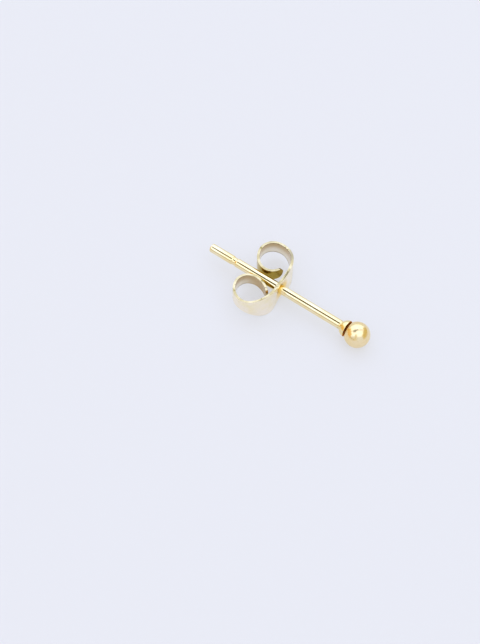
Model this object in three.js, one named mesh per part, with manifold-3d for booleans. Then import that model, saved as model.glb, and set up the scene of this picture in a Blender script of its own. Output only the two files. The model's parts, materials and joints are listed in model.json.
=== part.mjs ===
// Ball stud earring with its push-on butterfly back, in millimetres, +Z up.
//
// The post lies along X with the ball at its +X end. Both parts are drawn with the ball's centre at
// the origin and the post level. The whole earring is then tipped by the degree or so at which the
// ball and the back's two wings all touch the surface that it lies on.

import * as THREE from 'three';
import { mergeVertices } from 'three/addons/utils/BufferGeometryUtils.js';
import Module from 'manifold-3d';

const wasm = await Module();
wasm.setup();

// Stud: ball, cup and post. Places along the post are measured from the ball's centre.
const BALL_RADIUS = 1.0;
const POST_RADIUS = 0.36;
const STUD_LENGTH = 14.67;
const TIP_ROUNDING = 0.12;
const GROOVE_FROM_TIP = 2.28;
const GROOVE_LENGTH = 0.5;
const GROOVE_DEPTH = 0.05;
const CUP_BACK = -1.38;
const CUP_RIM = -0.9;
const CUP_RIM_RADIUS = 0.67;
const CUP_WALL = 0.08;
const PEG_RADIUS = 0.25;
const SOLDER_LENGTH = 0.16;
const STUD_SEGMENTS = 32;

// Butterfly back: one strip, with a dished hole in the middle and a wing curled at each end.
const PLATE_PLACE = -7.1;
const STRIP_THICKNESS = 0.2;
const HOLE_CLEARANCE = 0.04;
const HOLE_SEGMENTS = 32;
const DISH_RADIUS = 0.78;
const DISH_DEPTH = 0.22;
const END_ROUNDING = 0.55;
const END_BLUNTNESS = 0.1;

// Full width of the strip at places along it, counted from the hole, the same on both wings.
const STRIP_WIDTHS = [
  { at: 0, width: 1.8 },
  { at: 1.5, width: 2.35 },
  { at: 4.2, width: 1.1 },
  { at: 9.0, width: 1.0 },
];

// How far the strip turns at places along each wing, in degrees for each millimetre. It turns
// backwards, away from the ball, where the figure is positive.
const WINGS = {
  right: {
    side: -1,
    length: 9.5,
    bends: [
      { at: 0, turn: -26 },
      { at: 0.6, turn: -7 },
      { at: 1.4, turn: 37 },
      { at: 2.5, turn: 31 },
      { at: 4, turn: 41 },
      { at: 5.5, turn: 35 },
      { at: 7, turn: 62 },
      { at: 8.5, turn: 26 },
    ],
  },
  left: {
    side: 1,
    length: 9.9,
    bends: [
      { at: 0, turn: 0 },
      { at: 0.6, turn: 7 },
      { at: 1.4, turn: 22 },
      { at: 2.5, turn: 20 },
      { at: 4, turn: 37 },
      { at: 5.5, turn: 56 },
      { at: 7, turn: 28 },
      { at: 8.5, turn: 58 },
    ],
  },
};

// Mesh of the strip: divisions along each wing and across, and how they crowd towards the hole.
const WING_DIVISIONS = 46;
const WIDTH_DIVISIONS = 8;
const CROWDING = 1.3;
const WALK_STEP = 0.01;

const yellowGold = new THREE.MeshStandardMaterial({ color: 0xe3bf6a, roughness: 0.16, metalness: 1 });
const paleGold = new THREE.MeshStandardMaterial({ color: 0xddc38e, roughness: 0.26, metalness: 1 });

// Finds the two table rows on either side of a place and how far it lies between them, from 0 to 1.
function between(rows, place) {
  const last = rows.length - 2;
  let row = 0;
  while (row < last && place > rows[row + 1].at) row += 1;
  const span = rows[row + 1].at - rows[row].at;
  const share = THREE.MathUtils.clamp((place - rows[row].at) / span, 0, 1);
  return { low: rows[row], high: rows[row + 1], share };
}

function bendAt(wing, place) {
  const { low, high, share } = between(wing.bends, place);
  return THREE.MathUtils.degToRad(THREE.MathUtils.lerp(low.turn, high.turn, share));
}

// Half the strip's width: eased from row to row of the table, and drawn in to a round end.
function halfWidthAt(wing, place) {
  const { low, high, share } = between(STRIP_WIDTHS, place);
  const eased = THREE.MathUtils.smoothstep(share, 0, 1);
  const width = THREE.MathUtils.lerp(low.width, high.width, eased);
  const intoEnd = Math.max(0, 1 - (wing.length - place) / END_ROUNDING);
  return (width / 2) * Math.sqrt(1 - (1 - END_BLUNTNESS) * intoEnd ** 2);
}

// Walks along a wing in short steps, turning by the bend at each, and notes where the middle of the
// strip is. Heading 90 degrees is straight out from the hole.
function walkWing(wing) {
  const stations = [{ x: 0, y: 0, heading: Math.PI / 2 }];
  const steps = Math.round(wing.length / WALK_STEP);
  for (let step = 0; step < steps; step += 1) {
    const from = stations[step];
    const turn = bendAt(wing, (step + 0.5) * WALK_STEP) * WALK_STEP;
    const middle = from.heading + turn / 2;
    stations.push({
      x: from.x + Math.cos(middle) * WALK_STEP,
      y: from.y + Math.sin(middle) * WALK_STEP,
      heading: from.heading + turn,
    });
  }
  return stations;
}

// Depth of the dish around the hole: a smooth hump, deepest at the post and gone at its rim.
function dishDepth(distance) {
  const share = Math.min(distance / DISH_RADIUS, 1);
  return (DISH_DEPTH * (1 + Math.cos(Math.PI * share))) / 2;
}

// Bends a straight bar into the strip. The bar's length runs along Y, its height along Z, and its
// thickness along X, and each of its points is carried to its place beside the walked line.
function stripGeometry() {
  const bar = new THREE.BoxGeometry(1, 2, 1, 1, 2 * WING_DIVISIONS, WIDTH_DIVISIONS);
  const walks = { right: walkWing(WINGS.right), left: walkWing(WINGS.left) };
  const points = bar.attributes.position;
  for (let index = 0; index < points.count; index += 1) {
    const along = points.getY(index);
    const name = along < 0 ? 'right' : 'left';
    const wing = WINGS[name];
    const place = wing.length * Math.abs(along) ** CROWDING;
    const station = walks[name][Math.round(place / WALK_STEP)];
    const outward = points.getX(index) * STRIP_THICKNESS;
    const height = points.getZ(index) * 2 * halfWidthAt(wing, place);
    const dish = dishDepth(Math.hypot(place, height));
    points.setXYZ(
      index,
      PLATE_PLACE + station.x + Math.sin(station.heading) * outward - dish,
      wing.side * (station.y - Math.cos(station.heading) * outward),
      height,
    );
  }
  return bar;
}

// Turns a closed geometry into a solid that can be cut.
function toSolid(geometry) {
  const bare = geometry.clone();
  bare.deleteAttribute('normal');
  bare.deleteAttribute('uv');
  const merged = mergeVertices(bare);
  return new wasm.Manifold(new wasm.Mesh({
    numProp: 3,
    vertProperties: new Float32Array(merged.attributes.position.array),
    triVerts: new Uint32Array(merged.index.array),
  }));
}

function toGeometry(solid) {
  const mesh = solid.getMesh();
  const geometry = new THREE.BufferGeometry();
  geometry.setAttribute('position', new THREE.BufferAttribute(mesh.vertProperties, 3));
  geometry.setIndex(new THREE.BufferAttribute(mesh.triVerts, 1));
  geometry.computeVertexNormals();
  return geometry;
}

function butterflyBack() {
  const holeRadius = POST_RADIUS + HOLE_CLEARANCE;
  const punch = new THREE.CylinderGeometry(holeRadius, holeRadius, 2, HOLE_SEGMENTS);
  punch.rotateZ(Math.PI / 2);
  punch.translate(PLATE_PLACE, 0, 0);
  const back = new THREE.Mesh(toGeometry(toSolid(stripGeometry()).subtract(toSolid(punch))), paleGold);
  back.name = 'butterfly_back';
  return back;
}

// The stud's outline from the tip to the front of the ball: distance from the axis, then place
// along it.
function studOutline() {
  const tip = BALL_RADIUS - STUD_LENGTH;
  const groove = tip + GROOVE_FROM_TIP;
  const halfGroove = GROOVE_LENGTH / 2;
  const grooveRadius = POST_RADIUS - GROOVE_DEPTH;
  const cupInside = CUP_RIM_RADIUS - CUP_WALL;
  const pegAngle = -Math.acos(PEG_RADIUS / BALL_RADIUS);
  const outline = new THREE.Path();
  outline.moveTo(0, tip);
  outline.lineTo(POST_RADIUS - TIP_ROUNDING, tip);
  outline.quadraticCurveTo(POST_RADIUS, tip, POST_RADIUS, tip + TIP_ROUNDING);
  outline.lineTo(POST_RADIUS, groove - halfGroove);
  outline.bezierCurveTo(
    POST_RADIUS, groove - halfGroove / 2, grooveRadius, groove - halfGroove, grooveRadius, groove,
  );
  outline.bezierCurveTo(
    grooveRadius, groove + halfGroove, POST_RADIUS, groove + halfGroove / 2,
    POST_RADIUS, groove + halfGroove,
  );
  outline.lineTo(POST_RADIUS, CUP_BACK - SOLDER_LENGTH);
  outline.quadraticCurveTo(POST_RADIUS, CUP_BACK, POST_RADIUS + CUP_WALL / 2, CUP_BACK);
  outline.quadraticCurveTo(CUP_RIM_RADIUS - CUP_WALL, CUP_BACK + CUP_WALL, CUP_RIM_RADIUS, CUP_RIM);
  outline.lineTo(cupInside, CUP_RIM);
  outline.quadraticCurveTo(cupInside, CUP_BACK + CUP_WALL, PEG_RADIUS, CUP_BACK + CUP_WALL);
  outline.lineTo(PEG_RADIUS, BALL_RADIUS * Math.sin(pegAngle));
  outline.absarc(0, 0, BALL_RADIUS, pegAngle, 0, false);
  outline.absarc(0, 0, BALL_RADIUS, 0, Math.PI / 2, false);
  return outline;
}

function studMesh() {
  const points = studOutline().getPoints(6);
  const geometry = new THREE.LatheGeometry(points, STUD_SEGMENTS);
  geometry.rotateZ(-Math.PI / 2);
  const stud = new THREE.Mesh(geometry, yellowGold);
  stud.name = 'stud';
  return stud;
}

// Each low point of the back lets the ball touch the surface at one angle of the post. The largest
// of these angles is the one at which nothing is below the surface.
function restingTilt(back) {
  const points = back.geometry.attributes.position;
  let tilt = 0;
  for (let index = 0; index < points.count; index += 1) {
    const behind = -points.getX(index);
    const below = -points.getZ(index);
    const reach = Math.hypot(behind, below);
    tilt = Math.max(tilt, Math.atan2(below, behind) - Math.asin(BALL_RADIUS / reach));
  }
  return tilt;
}

const stud = studMesh();
const back = butterflyBack();
const level = new THREE.Group();
level.add(stud, back);
level.rotation.y = restingTilt(back);

// The origin is under the middle of the earring, on the surface that it lies on.
const earring = new THREE.Group();
earring.add(level);
earring.updateMatrixWorld(true);
const box = new THREE.Box3().setFromObject(earring, true);
const middle = box.getCenter(new THREE.Vector3());
earring.position.set(-middle.x, -middle.y, -box.min.z);

export default earring;
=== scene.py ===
"""Ball stud earring with its butterfly back, lying on a pale surface under soft light.

Shapes are worked out in millimetres on the earring's own axes: x along the post towards the ball
with the ball's centre at 0, y across the wings of the back, and z up from the post. placed() carries
them into the frame, in metres.
"""

import json
import math

import bmesh
import bpy
import numpy as np
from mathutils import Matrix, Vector


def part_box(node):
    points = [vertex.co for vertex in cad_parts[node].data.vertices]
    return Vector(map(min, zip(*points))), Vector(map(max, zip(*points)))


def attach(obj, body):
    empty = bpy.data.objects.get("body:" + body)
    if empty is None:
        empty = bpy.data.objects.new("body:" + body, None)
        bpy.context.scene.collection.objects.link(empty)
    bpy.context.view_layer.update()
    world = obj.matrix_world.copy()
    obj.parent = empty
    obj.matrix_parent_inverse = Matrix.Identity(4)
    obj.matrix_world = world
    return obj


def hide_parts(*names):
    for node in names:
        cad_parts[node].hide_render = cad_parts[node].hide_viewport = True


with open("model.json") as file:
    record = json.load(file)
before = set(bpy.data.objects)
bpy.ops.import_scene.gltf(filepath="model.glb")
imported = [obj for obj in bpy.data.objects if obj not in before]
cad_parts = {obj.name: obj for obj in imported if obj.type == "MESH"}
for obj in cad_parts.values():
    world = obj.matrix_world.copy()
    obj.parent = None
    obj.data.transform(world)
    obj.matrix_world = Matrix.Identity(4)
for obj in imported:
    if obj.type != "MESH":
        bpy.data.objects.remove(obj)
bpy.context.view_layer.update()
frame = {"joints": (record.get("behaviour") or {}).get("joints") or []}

MM = 0.001

# Stud, in millimetres. Places along the post are measured from the ball's centre.
BALL_RADIUS = 1.0
POST_RADIUS = 0.36
TIP_PLACE = -13.67
TIP_ROUNDING = 0.12
TIP_POLE_RADIUS = 0.02
GROOVE_PLACE = -11.39
GROOVE_LENGTH = 0.5
GROOVE_DEPTH = 0.05
GROOVE_RAMP_SHARE = 0.28
GROOVE_POINTS = 49
CUP_BACK = -1.38
CUP_RIM = -0.9
CUP_RIM_RADIUS = 0.67
CUP_WALL = 0.08
CUP_LIP = 0.05
SOLDER_LENGTH = 0.16
PEG_RADIUS = 0.25
PEG_FILLET_DEGREES = 5
PEG_FILLET_LENGTH = 0.07
PEG_FILLET_CORNER = 0.02
BALL_POLE_DEGREES = 0.5
POST_TURNS = 96
CUP_TURNS = 128
BALL_TURNS = 192
SAME_PLACE = 1e-6

# Butterfly back, in millimetres. The width of the strip and its bends are set at places along each
# wing, counted from the hole.
PLATE_PLACE = -7.1
STRIP_THICKNESS = 0.2
HOLE_RADIUS = 0.4
HOLE_LEAN = 0.05
DISH_RADIUS = 0.78
DISH_DEPTH = 0.22
END_RADIUS = 0.5
EDGE_ROUNDING = 0.09
EDGE_STEPS = 4
EDGE_DEGREES = 50
WIDTH_PLACES = (0.0, 1.5, 4.2, 9.0)
WIDTHS = (1.8, 2.35, 1.1, 1.0)
BEND_PLACES = (0.0, 0.6, 1.4, 2.5, 4.0, 5.5, 7.0, 8.5)
WINGS = {
    "right": {"side": -1, "length": 9.5, "degrees_per_mm": (-26, -7, 37, 31, 41, 35, 62, 26)},
    "left": {"side": 1, "length": 9.9, "degrees_per_mm": (0, 7, 22, 20, 37, 56, 28, 58)},
}
WALK_STEP = 0.01
WELD_REACH = 0.001

# Mesh of the strip: a patch of rings round the hole, then columns of rows along each wing.
PATCH_REACH = 0.95
PATCH_COLUMNS = 25
PATCH_RINGS = 16
PATCH_CROWDING = 1.2
STRIP_ROWS = 17
WING_COLUMNS = 150
END_COLUMNS = 10

# Surroundings, in metres. Panels and cards reach to the camera's right and away from it by shares
# of their height, and each reflector stands between two turns, in degrees from the camera's right.
FLOOR_HALF = 1.5
SKY_STRENGTH = 0.68
COOL_WHITE = (0.86, 0.9, 1)
PALE_WHITE = (0.9, 0.93, 1)
CEILING_HEIGHT = 0.35
PANELS = {
    "back_panel": {"right": (-2.3, 2.3), "away": (0.2, 2.3), "radiance": 0.42, "colour": COOL_WHITE},
    "front_panel": {"right": (-2.3, 2.3), "away": (-1.2, 0.08), "radiance": 0.36, "colour": COOL_WHITE},
    "key_panel": {"right": (0.05, 1.9), "away": (-0.9, 0.08), "radiance": 0.38, "colour": PALE_WHITE},
}
CARD_HEIGHT = 0.15
CARD_COLOUR = (0.2, 0.18, 0.12)
CARDS = {
    "overhead_strip": [(-0.62, -0.26), (-0.15, -0.11), (-0.15, 0.24), (-0.62, 0.12)],
    "overhead_middle": [(-0.15, 0.02), (0.2, 0.09), (0.2, 0.24), (-0.15, 0.18)],
    "overhead_tail": [(0.2, 0.14), (0.9, 0.26), (0.9, 0.32), (0.2, 0.22)],
}
REFLECTOR_REACH = 0.25
REFLECTORS = {
    "right_reflector": {"turns": (-40, 42), "height": 0.16, "glow": (0.51, 0.44, 0.26)},
    "left_reflector": {"turns": (140, 205), "height": 0.16, "glow": (0.62, 0.45, 0.22)},
    "low_reflector": {"turns": (205, 248), "height": 0.05, "glow": (0.42, 0.36, 0.22)},
    "front_reflector": {"turns": (240, 264), "height": 0.42, "glow": (0.56, 0.52, 0.42)},
}

# Camera, turned and raised by degrees, with its lens in millimetres. It faces a point on the
# surface to the left of the ball and beyond it.
CAMERA_AZIMUTH = 36.3
CAMERA_ELEVATION = 54.66
CAMERA_DISTANCE = 108 * MM
CAMERA_LENS = 78.9
CAMERA_FAR_END = 10
LEFT_OF_BALL = 8.8 * MM
BEYOND_BALL = 1.89 * MM

# The earring's own axes in the frame, from the slide's direction and the stud's box.
slide = next(joint for joint in frame["joints"] if joint["name"] == "back_slide")
along_post = np.array(slide["axis"], dtype=float)
along_post /= np.linalg.norm(along_post)
across = np.array([0.0, 1.0, 0.0])
upward = np.cross(along_post, across)
stud_low, stud_high = (np.array(corner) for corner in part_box("stud"))
ball_centre = np.array([
    stud_high[0] - BALL_RADIUS * MM,
    (stud_low[1] + stud_high[1]) / 2,
    stud_low[2] + BALL_RADIUS * MM,
])

# The camera's right and the way away from it, both level, and the point that it faces.
view_turn = math.radians(CAMERA_AZIMUTH)
to_right = Vector((math.cos(view_turn), math.sin(view_turn), 0))
away = Vector((-math.sin(view_turn), math.cos(view_turn), 0))
ball_foot = Vector((ball_centre[0], ball_centre[1], 0))
view_point = ball_foot - to_right * LEFT_OF_BALL + away * BEYOND_BALL


def placed(points):
    """Millimetres on the earring's axes to metres in the frame: the ball's centre plus the sum of
    each axis times its coordinate."""
    return ball_centre + (points * MM) @ np.array([along_post, across, upward])


def new_piece(name, vertices, faces, body, slot, *materials):
    """A mesh piece from an array of vertices and a list of faces, smooth, riding on a body."""
    mesh = bpy.data.meshes.new(name)
    mesh.from_pydata(placed(vertices), [], faces)
    mesh.polygons.foreach_set("use_smooth", np.ones(len(mesh.polygons), dtype=bool))
    for material in materials:
        mesh.materials.append(material)
    piece = bpy.data.objects.new(name, mesh)
    bpy.context.scene.collection.objects.link(piece)
    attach(piece, body)
    return piece


# --- outlines of turned pieces: rows of (place along the post, distance from its axis) ---


def run(start, end, points):
    """Straight stretch: start plus a growing share of the way to the end."""
    share = np.linspace(0, 1, points)[:, None]
    return np.array(start) + share * (np.array(end) - np.array(start))


def arc(centre, radius, start, end, points):
    """Round stretch: the centre plus the radius times cosine and sine of an angle in degrees."""
    angle = np.radians(np.linspace(start, end, points))
    return np.array(centre) + radius * np.stack([np.cos(angle), np.sin(angle)], axis=1)


def curve(start, control, end, points):
    """Quadratic curve: start, control and end weighted by the squares and product of the shares."""
    share = np.linspace(0, 1, points)[:, None]
    rest = 1 - share
    return (
        rest**2 * np.array(start) + 2 * rest * share * np.array(control) + share**2 * np.array(end)
    )


def joined(*stretches):
    """The stretches end to end, without the points that repeat where they meet."""
    outline = np.concatenate(stretches)
    moved = np.linalg.norm(np.diff(outline, axis=0), axis=1) > SAME_PLACE
    return outline[np.concatenate([[True], moved])]


def eased(share):
    """Smooth step: three times the square less twice the cube."""
    return share * share * (3 - 2 * share)


def post_outline():
    """Drawn wire: a softened end, the groove with a short eased ramp down at each side, and then
    straight into the cup."""
    flat = (TIP_PLACE, POST_RADIUS - TIP_ROUNDING)
    side = (TIP_PLACE + TIP_ROUNDING, POST_RADIUS)
    end = curve(flat, (TIP_PLACE, POST_RADIUS), side, points=9)
    shoulder = GROOVE_PLACE - GROOVE_LENGTH / 2
    share = np.linspace(0, 1, GROOVE_POINTS)
    ramp = eased(np.clip(np.minimum(share, 1 - share) / GROOVE_RAMP_SHARE, 0, 1))
    groove = np.stack([shoulder + GROOVE_LENGTH * share, POST_RADIUS - GROOVE_DEPTH * ramp], axis=1)
    return joined(
        run((TIP_PLACE, TIP_POLE_RADIUS), end[0], points=5),
        end,
        run(end[-1], groove[0], points=20),
        groove,
        run(groove[-1], (CUP_BACK + CUP_WALL / 2, POST_RADIUS), points=60),
    )


def cup_outline():
    """A thin flare open towards the ball, in two stretches. The outside goes from the fillet of
    solder out to the middle of its thin rounded rim, and the inside from there down to the peg."""
    core = POST_RADIUS - CUP_WALL
    lip = CUP_LIP / 2
    floor = CUP_BACK + CUP_WALL
    foot = (CUP_BACK - SOLDER_LENGTH, POST_RADIUS)
    waist = (CUP_BACK, POST_RADIUS + CUP_WALL / 2)
    rim = (CUP_RIM - lip, CUP_RIM_RADIUS)
    bend = (floor, CUP_RIM_RADIUS - CUP_WALL)
    lip_middle = (rim[0], rim[1] - lip)
    outside = joined(
        run((foot[0], core), foot, points=4),
        curve(foot, (CUP_BACK, POST_RADIUS), waist, points=8),
        curve(waist, bend, rim, points=22),
        arc(lip_middle, lip, 90, 45, points=5),
    )
    inside = joined(
        arc(lip_middle, lip, 45, -90, points=8)[1:],
        curve((rim[0], rim[1] - 2 * lip), (floor, bend[1] - lip), (floor, PEG_RADIUS), points=20),
        run((floor, PEG_RADIUS), (floor, core / 2), points=4),
        run((floor, core / 2), (foot[0], core / 2), points=4),
        run((foot[0], core / 2), (foot[0], core), points=4)[:-1],
    )
    return outside, inside


def ball_outline():
    """A short peg out of the cup, a small fillet, and the round of the ball to its front."""
    peg_degrees = 180 - math.degrees(math.asin(PEG_RADIUS / BALL_RADIUS))
    ball = arc((0, 0), BALL_RADIUS, peg_degrees - PEG_FILLET_DEGREES, BALL_POLE_DEGREES, points=150)
    edge = ball[0]
    foot = (edge[0] - PEG_FILLET_LENGTH, PEG_RADIUS)
    corner = (edge[0] - PEG_FILLET_CORNER, PEG_RADIUS)
    return joined(
        run((CUP_BACK + CUP_WALL / 2, PEG_RADIUS), foot, points=6),
        curve(foot, corner, edge, points=6),
        ball,
    )


# --- turned pieces, which stand for the stud's solid ---


def ring_points(outline, turns):
    """The outline carried round the post: each of its rows becomes a ring at its place, with y and
    z its distance times the cosine and sine of the turn."""
    angle = np.linspace(0, 2 * np.pi, turns, endpoint=False)
    place, distance = outline[:, :1], outline[:, 1:]
    rings = [place + 0 * angle, distance * np.cos(angle), distance * np.sin(angle)]
    return np.stack(rings, axis=-1).reshape(-1, 3)


def ring_faces(rings, turns, close_rings=False):
    """Quads between neighbouring rings, each ring a closed row of as many vertices as turns."""
    ring = np.arange(rings if close_rings else rings - 1)[:, None]
    step = np.arange(turns)[None, :]
    below = ring * turns
    above = ((ring + 1) % rings) * turns
    after = (step + 1) % turns
    return np.stack([below + step, below + after, above + after, above + step], -1).reshape(-1, 4)


def stud_piece(name, vertices, faces, *materials):
    """A turned piece of the soldered stud."""
    piece = new_piece(name, vertices, faces, "stud", "yellow_gold", *materials)
    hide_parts("stud")
    return piece


def turned(name, outline, turns, material):
    """A solid piece turned about the post, with each end closed by a fan about a pole."""
    poles = np.array([[outline[0, 0], 0, 0], [outline[-1, 0], 0, 0]])
    rings = ring_points(outline, turns)
    top = len(rings) - turns
    step = np.arange(turns)
    after = (step + 1) % turns
    first = np.stack([np.full(turns, len(rings)), after, step], axis=1)
    last = np.stack([np.full(turns, len(rings) + 1), top + step, top + after], axis=1)
    faces = ring_faces(len(outline), turns)[:, ::-1].tolist()
    faces += np.concatenate([first, last])[:, ::-1].tolist()
    return stud_piece(name, np.concatenate([rings, poles]), faces, material)


def turned_shell(name, outside, inside, turns, outside_finish, inside_finish):
    """A hollow piece turned about the post, whose outline closes on itself, with one finish on the
    outside and one on the inside."""
    outline = np.concatenate([outside, inside])
    faces = ring_faces(len(outline), turns, close_rings=True)[:, ::-1]
    piece = stud_piece(name, ring_points(outline, turns), faces.tolist(), outside_finish, inside_finish)
    is_inside = np.arange(len(faces)) >= (len(outside) - 1) * turns
    piece.data.polygons.foreach_set("material_index", is_inside.astype(np.int32))
    return piece


# --- the back: a sheet drawn flat as (distance along the strip, height), then bent ---


def half_width(along):
    """Half the strip's width, eased from one set place to the next."""
    along = np.minimum(np.abs(along), WIDTH_PLACES[-1])
    row = np.clip(np.searchsorted(WIDTH_PLACES, along, side="right") - 1, 0, len(WIDTHS) - 2)
    places, widths = np.array(WIDTH_PLACES), np.array(WIDTHS)
    share = (along - places[row]) / (places[row + 1] - places[row])
    return (widths[row] + (widths[row + 1] - widths[row]) * eased(share)) / 2


def walk(wing):
    """The wing's middle line. The heading is a right angle plus the sum of the bends so far, and
    the place is the sum of short steps along the heading at the middle of each step."""
    distance = np.arange(0, wing["length"] + WALK_STEP / 2, WALK_STEP)
    middle = distance[:-1] + WALK_STEP / 2
    turn = np.radians(np.interp(middle, BEND_PLACES, wing["degrees_per_mm"])) * WALK_STEP
    heading = np.pi / 2 + np.concatenate([[0], np.cumsum(turn)])
    facing = heading[:-1] + turn / 2
    back = np.concatenate([[0], np.cumsum(np.cos(facing))]) * WALK_STEP
    out = np.concatenate([[0], np.cumsum(np.sin(facing))]) * WALK_STEP
    return distance, back, out


def dish(reach):
    """Depth of the dish round the hole: half of one plus a cosine, gone at the dish's rim."""
    return DISH_DEPTH * (1 + np.cos(np.pi * np.minimum(reach / DISH_RADIUS, 1))) / 2


def bent(flat):
    """Flat points to the bent strip: each is carried to the wing's middle line at its distance
    along, keeps its height, and sinks by the depth of the dish."""
    along, height = flat[:, 0], flat[:, 1]
    shape = np.stack([np.zeros_like(along), np.zeros_like(along), height], axis=1)
    for wing in WINGS.values():
        distance, back, out = walk(wing)
        here = along * wing["side"] >= 0
        shape[here, 0] = np.interp(np.abs(along[here]), distance, back)
        shape[here, 1] = wing["side"] * np.interp(np.abs(along[here]), distance, out)
    shape[:, 0] += PLATE_PLACE - dish(np.hypot(along, height))
    return shape


def hole_sheet():
    """The middle of the strip drawn flat: rings that go from the round hole to the outline of this
    stretch of the strip, each point on a straight line between the two. The hole is drawn wider by
    as much as the dish leans its wall towards the post."""
    share = np.linspace(-1, 1, STRIP_ROWS)
    reach = np.linspace(1, -1, PATCH_COLUMNS)[1:-1] * PATCH_REACH
    side = np.stack([np.full(STRIP_ROWS, PATCH_REACH), half_width(PATCH_REACH) * share], axis=1)
    top = np.stack([reach, half_width(reach)], axis=1)
    border = np.concatenate([side, top, -side, -top])
    angle = np.arctan2(border[:, 1], border[:, 0])
    hole = (HOLE_RADIUS + HOLE_LEAN) * np.stack([np.cos(angle), np.sin(angle)], axis=1)
    out = np.linspace(0, 1, PATCH_RINGS)[:, None, None] ** PATCH_CROWDING
    return (hole + out * (border - hole)).reshape(-1, 2), len(border)


def wing_sheet(wing):
    """A wing drawn flat: columns of equal shares of the width, and at the end a square of the same
    rows drawn into a half disc, each side scaled by the root of one less half the other's square."""
    share = np.linspace(-1, 1, STRIP_ROWS)
    straight = np.linspace(PATCH_REACH, wing["length"] - END_RADIUS, WING_COLUMNS)
    along = np.repeat(straight[:, None], STRIP_ROWS, axis=1)
    height = half_width(along) * share
    into = np.linspace(0, 1, END_COLUMNS)[1:, None]
    round_along = straight[-1] + END_RADIUS * into * np.sqrt(1 - share**2 / 2)
    round_height = half_width(straight[-1]) * share * np.sqrt(1 - into**2 / 2)
    flat = np.stack([np.concatenate([along, round_along]), np.concatenate([height, round_height])], -1)
    return flat.reshape(-1, 2) * [wing["side"], 1]


def grid_faces(columns, rows, first):
    """Quads of a grid of columns, each a run of rows, from the first vertex's number on."""
    column = np.arange(columns - 1)[:, None] * rows
    row = np.arange(rows - 1)[None, :]
    corner = first + column + row
    return np.stack([corner, corner + rows, corner + rows + 1, corner + 1], -1).reshape(-1, 4)


def flat_strip():
    """The whole strip drawn flat: the sheet round the hole, then a sheet for each wing."""
    middle, border = hole_sheet()
    flats = [middle]
    faces = ring_faces(PATCH_RINGS, border).tolist()
    for wing in WINGS.values():
        first = sum(len(flat) for flat in flats)
        sheet = wing_sheet(wing)
        faces += grid_faces(len(sheet) // STRIP_ROWS, STRIP_ROWS, first).tolist()
        flats.append(sheet)
    return np.concatenate(flats), faces


def add_map(piece, name, values):
    """A map on the piece, with one row of values for each of its vertices."""
    corners = np.empty(len(piece.data.loops), dtype=np.int32)
    piece.data.loops.foreach_get("vertex_index", corners)
    piece.data.uv_layers.new(name=name).data.foreach_set("uv", values[corners].ravel())


def weld(piece):
    """Joins the vertices that the sheets share, and turns all faces the way that the first is
    turned, which is towards the ball."""
    work = bmesh.new()
    work.from_mesh(piece.data)
    bmesh.ops.remove_doubles(work, verts=work.verts, dist=WELD_REACH * MM)
    bmesh.ops.recalc_face_normals(work, faces=work.faces)
    work.faces.ensure_lookup_table()
    if work.faces[0].normal.dot(Vector(along_post)) < 0:
        bmesh.ops.reverse_faces(work, faces=work.faces)
    work.to_mesh(piece.data)
    work.free()


def thicken(piece):
    """Gives the sheet its thickness, half to each side, and rounds its cut edges. The inner face
    and the cut edges take the piece's second and third finish."""
    sheet = piece.modifiers.new("thickness", "SOLIDIFY")
    sheet.thickness = STRIP_THICKNESS * MM
    sheet.offset = 0
    sheet.use_even_offset = True
    sheet.material_offset = 1
    sheet.material_offset_rim = 2
    rounding = piece.modifiers.new("rounded_edges", "BEVEL")
    rounding.width = EDGE_ROUNDING * MM
    rounding.segments = EDGE_STEPS
    rounding.limit_method = "ANGLE"
    rounding.angle_limit = math.radians(EDGE_DEGREES)


def butterfly_back(outer_face, inner_face, cut_edge):
    """The strip, bent, welded and thickened. One map holds each point's place on the flat strip, and
    the other its place along and its share of the half width."""
    flat, faces = flat_strip()
    piece = new_piece(
        "butterfly_strip", bent(flat), faces, "back", "pale_gold", outer_face, inner_face, cut_edge
    )
    add_map(piece, "flat", flat)
    add_map(piece, "share", np.stack([flat[:, 0], flat[:, 1] / half_width(flat[:, 0])], axis=1))
    weld(piece)
    thicken(piece)
    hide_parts("butterfly_back")
    return piece


# --- finishes ---


def plain(name, settings):
    """A material with the given settings on its shader."""
    material = bpy.data.materials.new(name)
    material.use_nodes = True
    shader = material.node_tree.nodes["Principled BSDF"]
    for socket, value in settings.items():
        shader.inputs[socket].default_value = value
    return material


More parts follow.
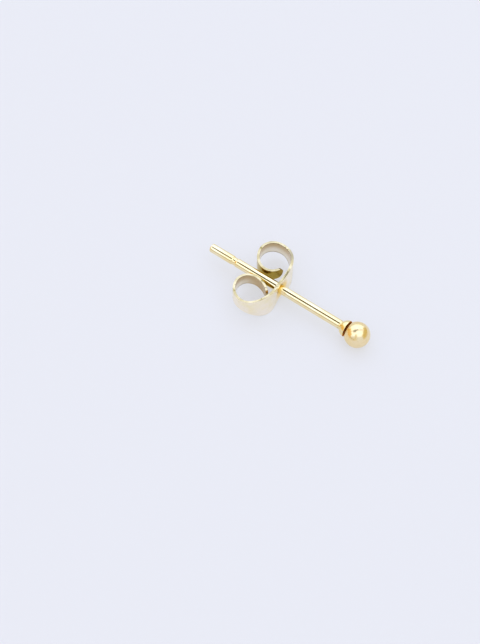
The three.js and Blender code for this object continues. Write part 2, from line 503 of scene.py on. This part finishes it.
class Metal:
    """A bare metal. Its plain colour and roughness are on its shader, and patterns made of nodes
    can be laid over them."""

    def __init__(self, name, colour, roughness):
        settings = {"Metallic": 1.0, "Base Color": (*colour, 1), "Roughness": roughness}
        self.material = plain(name, settings)
        self.nodes = self.material.node_tree.nodes
        self.links = self.material.node_tree.links

    def lay(self, value, socket):
        """Lays a value or colour over one of the shader's sockets."""
        self.links.new(value, self.nodes["Principled BSDF"].inputs[socket])

    def stretched(self, vector, scale):
        """Coordinates scaled on each axis."""
        mapping = self.nodes.new("ShaderNodeMapping")
        mapping.inputs["Scale"].default_value = scale
        self.links.new(vector, mapping.inputs["Vector"])
        return mapping.outputs["Vector"]

    def in_millimetres(self, stretch=(1, 1, 1)):
        """The piece's own coordinates, counted in millimetres and stretched."""
        place = self.nodes.new("ShaderNodeTexCoord").outputs["Object"]
        return self.stretched(place, [value / MM for value in stretch])

    def strip_map(self, name):
        """One of the strip's two maps."""
        node = self.nodes.new("ShaderNodeUVMap")
        node.uv_map = name
        return node.outputs["UV"]

    def parts(self, vector):
        """The first two coordinates of a vector, each by itself."""
        node = self.nodes.new("ShaderNodeSeparateXYZ")
        self.links.new(vector, node.inputs[0])
        return node.outputs["X"], node.outputs["Y"]

    def length(self, vector):
        """How long a vector is."""
        node = self.nodes.new("ShaderNodeVectorMath")
        node.operation = "LENGTH"
        self.links.new(vector, node.inputs[0])
        return node.outputs["Value"]

    def size(self, value):
        """How far a value is from nothing, whichever its sign."""
        node = self.nodes.new("ShaderNodeMath")
        node.operation = "ABSOLUTE"
        self.links.new(value, node.inputs[0])
        return node.outputs[0]

    def noise(self, vector, waves, detail=3.0):
        """Cloudy noise, with about so many waves to a unit of the coordinates."""
        node = self.nodes.new("ShaderNodeTexNoise")
        node.inputs["Scale"].default_value = waves
        node.inputs["Detail"].default_value = detail
        self.links.new(vector, node.inputs["Vector"])
        return node.outputs["Fac"]

    def ranged(self, value, low, high, between=(0.3, 0.7)):
        """Goes smoothly from low to high while the value goes from one bound to the other."""
        node = self.nodes.new("ShaderNodeMapRange")
        node.interpolation_type = "SMOOTHSTEP"
        node.inputs["From Min"].default_value = between[0]
        node.inputs["From Max"].default_value = between[1]
        node.inputs["To Min"].default_value = low
        node.inputs["To Max"].default_value = high
        self.links.new(value, node.inputs["Value"])
        return node.outputs["Result"]

    def blended(self, share, first, second):
        """Colour that goes from the first to the second with the share. Either may be a socket."""
        mix = self.nodes.new("ShaderNodeMix")
        mix.data_type = "RGBA"
        self.links.new(share, mix.inputs[0])
        for colour, entry in ((first, mix.inputs[6]), (second, mix.inputs[7])):
            if isinstance(colour, tuple):
                entry.default_value = (*colour, 1)
            else:
                self.links.new(colour, entry)
        return mix.outputs[2]

    def relief(self, height, depth_mm):
        """Small relief from a height, as deep as the given part of a millimetre."""
        bump = self.nodes.new("ShaderNodeBump")
        bump.inputs["Distance"].default_value = depth_mm * MM
        self.links.new(height, bump.inputs["Height"])
        self.lay(bump.outputs["Normal"], "Normal")


def polished_gold():
    """The ball: yellow gold, polished, with a faint haze where it has been handled."""
    gold = Metal("polished_gold", (0.95, 0.78, 0.48), roughness=0.1)
    place = gold.in_millimetres()
    haze = gold.noise(place, waves=1.4, detail=4)
    gold.lay(gold.ranged(haze, 0.19, 0.27), "Roughness")
    tone = gold.ranged(gold.noise(place, waves=0.8), 0, 1)
    gold.lay(gold.blended(tone, (0.96, 0.82, 0.55), (0.95, 0.78, 0.44)), "Base Color")
    gold.relief(gold.noise(place, waves=1.6, detail=2), depth_mm=0.002)
    return gold.material


def drawn_gold():
    """The post: yellow gold wire with fine lines along it from the drawing."""
    gold = Metal("drawn_gold", (0.96, 0.85, 0.57), roughness=0.1)
    lines = gold.noise(gold.in_millimetres(stretch=(0.4, 9, 9)), waves=1)
    gold.lay(gold.ranged(lines, 0.06, 0.16), "Roughness")
    tone = gold.ranged(gold.noise(gold.in_millimetres(), waves=0.5), 0, 1)
    gold.lay(gold.blended(tone, (0.96, 0.88, 0.66), (0.96, 0.82, 0.5)), "Base Color")
    gold.relief(lines, depth_mm=0.001)
    return gold.material


def soldered_gold():
    """The cup's outside: yellow gold, duller in patches from the heat of soldering."""
    gold = Metal("soldered_gold", (0.95, 0.79, 0.5), roughness=0.16)
    place = gold.in_millimetres()
    heat = gold.noise(place, waves=1.8)
    tone = gold.ranged(heat, 0, 1)
    gold.lay(gold.blended(tone, (0.97, 0.84, 0.62), (0.93, 0.80, 0.42)), "Base Color")
    gold.lay(gold.ranged(heat, 0.1, 0.22), "Roughness")
    gold.relief(gold.noise(place, waves=5), depth_mm=0.004)
    return gold.material


def cup_inside_painted_shade():
    """The cup's inside: dull gold painted brown, as painted shade for the gap between the cup and the
    ball.
    """
    # painted shade: the inside of the cup is brown and dull to stand in for the shade in the gap round
    # the ball
    gold = Metal("cup_inside_painted_shade", (0.8, 0.48, 0.2), roughness=0.35)
    scale = gold.noise(gold.in_millimetres(), waves=4, detail=4)
    tone = gold.ranged(scale, 0, 1)
    gold.lay(gold.blended(tone, (0.92, 0.58, 0.25), (0.6, 0.3, 0.1)), "Base Color")
    gold.relief(scale, depth_mm=0.01)
    return gold.material


def edge_painted_shade(gold, tone, across_share, brown, strength):
    """Lays painted shade over a tone: brown towards the upper cut edge, and a dark line close to both
    edges.
    """
    # painted shade: brown towards the upper cut edge and a dark line along both cut edges
    upper_edge_shade = gold.ranged(across_share, 0, strength, between=(-0.5, 0.7))
    tone = gold.blended(upper_edge_shade, tone, brown)
    line = gold.ranged(gold.size(across_share), 0, strength, between=(0.85, 0.96))
    return gold.blended(line, tone, (0.25, 0.17, 0.07))


def strip_finish(name, pale, warm, brown, edge_strength=0.0):
    """A face of the strip: two tones of pale gold in patches, painted shade in brown on the last
    stretch of each wing, and a fine grain across it from the rollers. With an edge strength it gets
    painted shade towards its cut edges too. Returns the metal and its tone, which is still to be laid."""
    gold = Metal(name, pale, roughness=0.22)
    along, across_share = gold.parts(gold.strip_map("share"))
    patches = gold.ranged(gold.noise(gold.in_millimetres(), waves=0.8), 0, 1)
    tone = gold.blended(patches, pale, warm)
    if edge_strength > 0:
        tone = edge_painted_shade(gold, tone, across_share, brown, edge_strength)
    # painted shade: the last stretch of each wing is browned to stand in for the shade between the
    # tongue and the post
    painted_end_shade = gold.ranged(gold.size(along), 0, 1, between=(6.2, 8.4))
    tone = gold.blended(painted_end_shade, tone, brown)
    grain = gold.noise(gold.stretched(gold.strip_map("flat"), (9, 0.7, 1)), waves=1, detail=4)
    gold.lay(gold.ranged(grain, 0.14, 0.26), "Roughness")
    gold.relief(grain, depth_mm=0.006)
    return gold, tone


def pressed_gold():
    """The strip's outer face, with a painted warm reflection of deep yellow in the dish round the hole.
    """
    gold, tone = strip_finish(
        "pressed_gold", pale=(1.0, 0.93, 0.82), warm=(0.98, 0.89, 0.62), brown=(0.52, 0.4, 0.11)
    )
    # painted reflection: the dish round the hole is coloured deep yellow to stand in for the warm
    # reflection round the post
    dish_painted_reflection = gold.ranged(gold.length(gold.strip_map("flat")), 1, 0, between=(0.5, 1.0))
    gold.lay(gold.blended(dish_painted_reflection, tone, (1.0, 0.77, 0.34)), "Base Color")
    return gold.material


def curled_gold():
    """The strip's inner face: greyer, with painted shade in brown towards its upper cut edge."""
    gold, tone = strip_finish(
        "curled_gold", pale=(0.9, 0.85, 0.76), warm=(0.86, 0.79, 0.64), brown=(0.64, 0.5, 0.31),
        edge_strength=0.95,
    )
    gold.lay(tone, "Base Color")
    return gold.material


def sheared_gold():
    """The strip's cut edges: pale and smooth, with small nicks and dark specks."""
    gold = Metal("sheared_gold", (0.8, 0.69, 0.44), roughness=0.25)
    place = gold.in_millimetres()
    nicks = gold.noise(place, waves=1.6, detail=4)
    tone = gold.blended(gold.ranged(nicks, 0, 1), (0.76, 0.69, 0.5), (0.58, 0.51, 0.32))
    specks = gold.ranged(gold.noise(place, waves=2.5), 0, 0.7, between=(0.57, 0.68))
    gold.lay(gold.blended(specks, tone, (0.3, 0.25, 0.08)), "Base Color")
    gold.lay(gold.ranged(nicks, 0.14, 0.28), "Roughness")
    gold.relief(nicks, depth_mm=0.002)
    return gold.material


def pale_surface():
    """The surface under the earring: smooth, matt and a cool white, lit a little from below."""
    return plain("pale_surface", {
        "Base Color": (0.25, 0.258, 0.3, 1),
        "Roughness": 0.9,
        "Specular IOR Level": 0.0,
        "Emission Color": (0.978, 0.982, 1, 1),
        "Emission Strength": 0.412,
    })


def matt_card(name):
    """Matt card in a dull dark colour."""
    return plain(name, {"Base Color": (*CARD_COLOUR, 1), "Roughness": 1.0})


def warm_glow(name, glow):
    """A warm reflector, which shines back evenly with the given brightness in each colour."""
    return plain(name, {
        "Base Color": (0, 0, 0, 1),
        "Specular IOR Level": 0.0,
        "Emission Color": (*glow, 1),
        "Emission Strength": 1.0,
    })


# --- surface, sky, lights, cards and camera ---


def four_cornered(name, corners, material):
    """A flat sheet with four corners, which belongs to the surroundings."""
    mesh = bpy.data.meshes.new(name)
    mesh.from_pydata(corners, [], [(0, 1, 2, 3)])
    mesh.materials.append(material)
    sheet = bpy.data.objects.new(name, mesh)
    bpy.context.scene.collection.objects.link(sheet)
    return sheet


def surface():
    """The square of surface that the earring lies on."""
    half = FLOOR_HALF
    corners = [(-half, -half, 0), (half, -half, 0), (half, half, 0), (-half, half, 0)]
    four_cornered("surface", corners, pale_surface())


def sky():
    """A cool white sky, the same all round."""
    world = bpy.data.worlds.new("studio")
    world.use_nodes = True
    background = world.node_tree.nodes["Background"]
    background.inputs["Color"].default_value = (*COOL_WHITE, 1)
    background.inputs["Strength"].default_value = SKY_STRENGTH
    bpy.context.scene.world = world


def ceiling_panel(name, panel):
    """A soft light that lies flat above the earring and faces down. Its power is its radiance times
    its area times pi."""
    width = (panel["right"][1] - panel["right"][0]) * CEILING_HEIGHT
    depth = (panel["away"][1] - panel["away"][0]) * CEILING_HEIGHT
    data = bpy.data.lights.new(name, "AREA")
    data.shape = "RECTANGLE"
    data.size = width
    data.size_y = depth
    data.energy = panel["radiance"] * math.pi * width * depth
    data.color = panel["colour"]
    light = bpy.data.objects.new(name, data)
    middle = to_right * sum(panel["right"]) / 2 + away * sum(panel["away"]) / 2 + Vector((0, 0, 1))
    light.location = view_point + middle * CEILING_HEIGHT
    light.rotation_euler = (0, 0, view_turn)
    light.visible_camera = False
    bpy.context.scene.collection.objects.link(light)


def hung(name, corners, material):
    """A sheet that the camera doesn't see. Each corner is given as its distances to the camera's
    right, away from it and up, all from the point that it faces."""
    places = [
        view_point + to_right * right + away * beyond + Vector((0, 0, up))
        for right, beyond, up in corners
    ]
    four_cornered(name, places, material).visible_camera = False


def overhead_card(name, corners):
    """A level card over the earring, which the post and the ball reflect as a dark line."""
    level = [(right * CARD_HEIGHT, beyond * CARD_HEIGHT, CARD_HEIGHT) for right, beyond in corners]
    hung(name, level, matt_card(name))


def reflector(name, turns, height, glow):
    """An upright reflector that stands on the surface on a chord between two turns."""
    feet = [
        (REFLECTOR_REACH * math.cos(math.radians(turn)), REFLECTOR_REACH * math.sin(math.radians(turn)))
        for turn in turns
    ]
    corners = [(*feet[0], 0), (*feet[1], 0), (*feet[1], height), (*feet[0], height)]
    hung(name, corners, warm_glow(name, glow))


def camera():
    """The camera, which looks down on the earring from in front."""
    rise = math.radians(CAMERA_ELEVATION)
    back_to_camera = -away * math.cos(rise) + Vector((0, 0, math.sin(rise)))
    data = bpy.data.cameras.new("camera")
    data.lens = CAMERA_LENS
    data.clip_start = MM
    data.clip_end = CAMERA_FAR_END
    viewer = bpy.data.objects.new("camera", data)
    viewer.location = view_point + back_to_camera * CAMERA_DISTANCE
    viewer.rotation_mode = "QUATERNION"
    viewer.rotation_quaternion = back_to_camera.to_track_quat("Z", "Y")
    bpy.context.scene.collection.objects.link(viewer)
    bpy.context.scene.camera = viewer


turned("post", post_outline(), POST_TURNS, drawn_gold())
turned_shell("cup", *cup_outline(), CUP_TURNS, soldered_gold(), cup_inside_painted_shade())
turned("ball", ball_outline(), BALL_TURNS, polished_gold())
butterfly_back(pressed_gold(), curled_gold(), sheared_gold())

surface()
sky()
for name, panel in PANELS.items():
    ceiling_panel(name, panel)
for name, corners in CARDS.items():
    overhead_card(name, corners)
for name, stand in REFLECTORS.items():
    reflector(name, **stand)
camera()
bpy.context.scene.view_settings.view_transform = "Standard"
bpy.context.scene.view_settings.look = "High Contrast"
